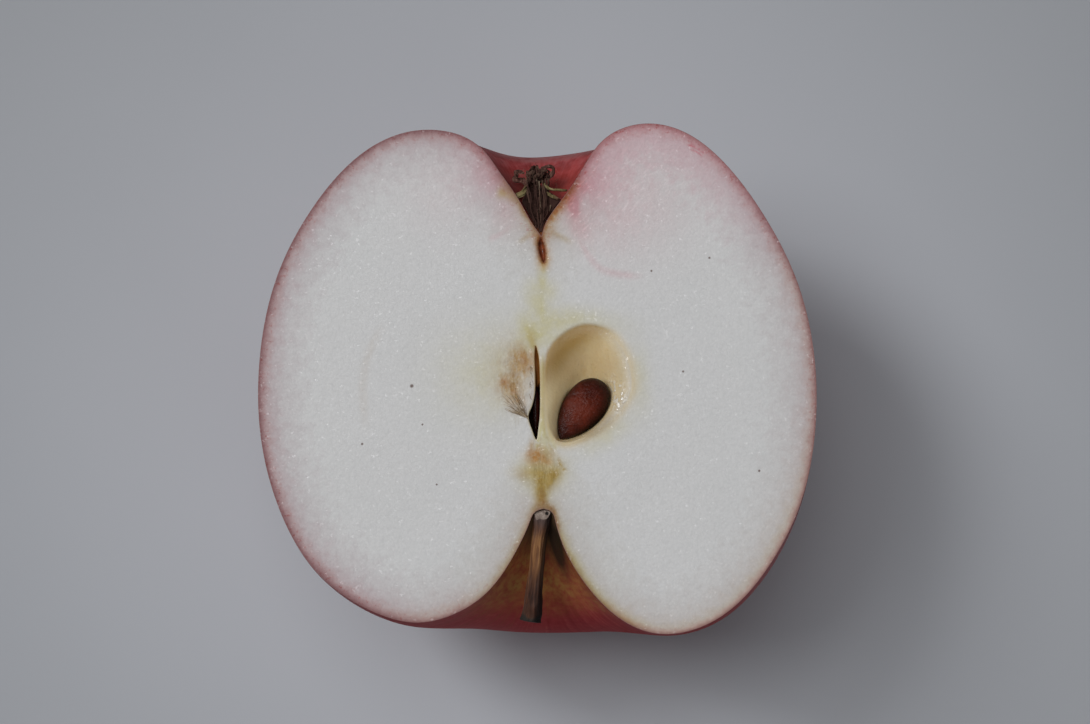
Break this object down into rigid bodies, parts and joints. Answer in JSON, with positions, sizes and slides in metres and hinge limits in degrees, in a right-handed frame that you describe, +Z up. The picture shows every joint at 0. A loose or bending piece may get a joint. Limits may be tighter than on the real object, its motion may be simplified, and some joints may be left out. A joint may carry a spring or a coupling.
{
  "type": "apple half",
  "caption": "Half of a fresh apple cut lengthways through the core, lying cut face up, with its stem, seeds, open seed chamber and dried calyx.",
  "frame": {"origin": "under the middle of the whole piece, on the plane it rests on", "axes": "+Z up out of the cut face, +X across the cut face, +Y along the core towards the calyx end"},
  "size_m": [0.076, 0.0698, 0.0377],
  "materials": {
    "flesh": "moist white flesh under a thin waxy red skin",
    "bark": "dry brown bark",
    "seed": "smooth glossy brown seed coat",
    "sepal": "dry papery brown and pale green",
    "stamens": "dry dark fibres"
  },
  "bodies": {
    "root": {"apple_half": "flesh", "stem": "bark", "seed_right": "seed", "seed_left": "seed", "stamen_tuft": "stamens", "sepal_left": "sepal", "sepal_back": "sepal", "sepal_loop": "sepal", "sepal_right": "sepal", "sepal_shred": "sepal"}
  },
  "joints": []
}
